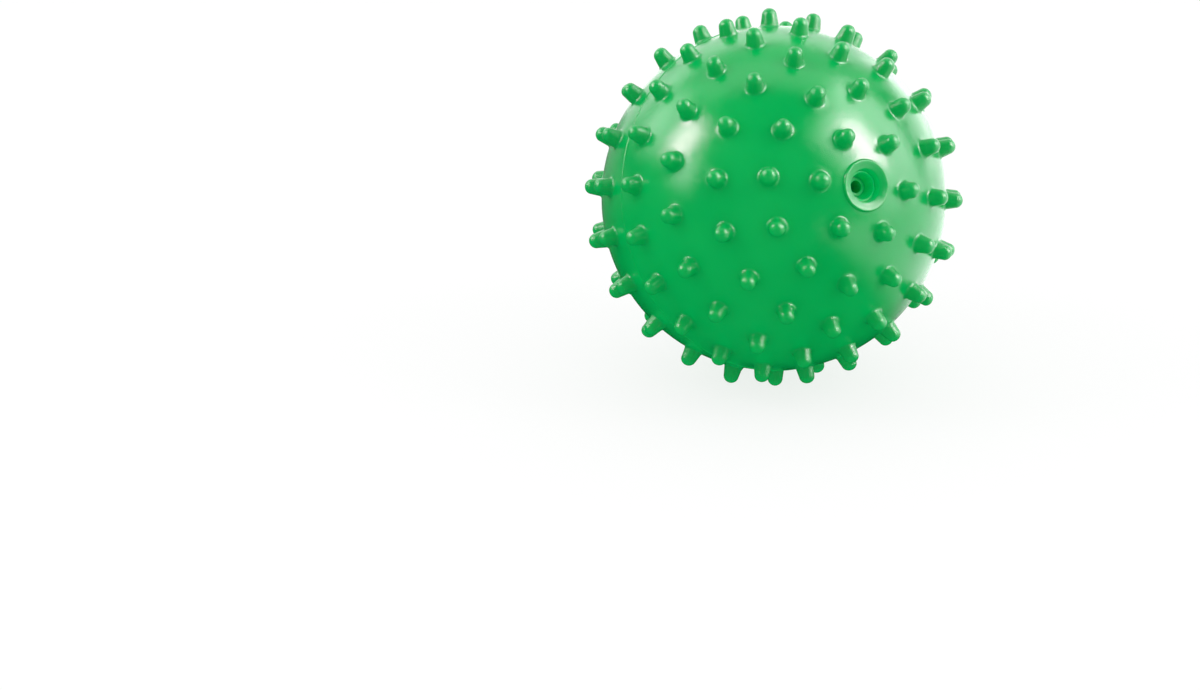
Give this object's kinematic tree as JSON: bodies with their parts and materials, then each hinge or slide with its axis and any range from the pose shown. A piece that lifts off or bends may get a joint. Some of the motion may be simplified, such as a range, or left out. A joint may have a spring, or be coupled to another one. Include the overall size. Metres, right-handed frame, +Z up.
{
  "type": "sensory ball",
  "caption": "Inflatable sensory ball of soft green vinyl, covered in rings of blunt knobs, with a push-in plug in a recessed valve well.",
  "frame": {"origin": "on the surface that the ball rests on, under the centre of the box round it, which lies less than 1 mm from the point under the ball's own centre", "axes": "+Z up from the three knob tips that the ball rests on; the valve's axis lies in the YZ plane and points to -Y and 19 degrees up; +X is to the right when the valve faces the viewer"},
  "size_m": [0.1252, 0.1263, 0.1254],
  "materials": {
    "skin_vinyl": "satin gloss, soft, slightly translucent",
    "bush_vinyl": "smooth, soft, slightly translucent",
    "plug_vinyl": "smooth, soft"
  },
  "bodies": {
    "ball": {"skin": "skin_vinyl", "valve_bush": "bush_vinyl"},
    "plug": {"valve_plug": "plug_vinyl"}
  },
  "joints": [
    {"name": "plug_pull", "type": "slide", "parent": "ball", "child": "plug", "axis": [0, -0.9459, 0.3246], "range_m": [0, 0.0124]}
  ]
}
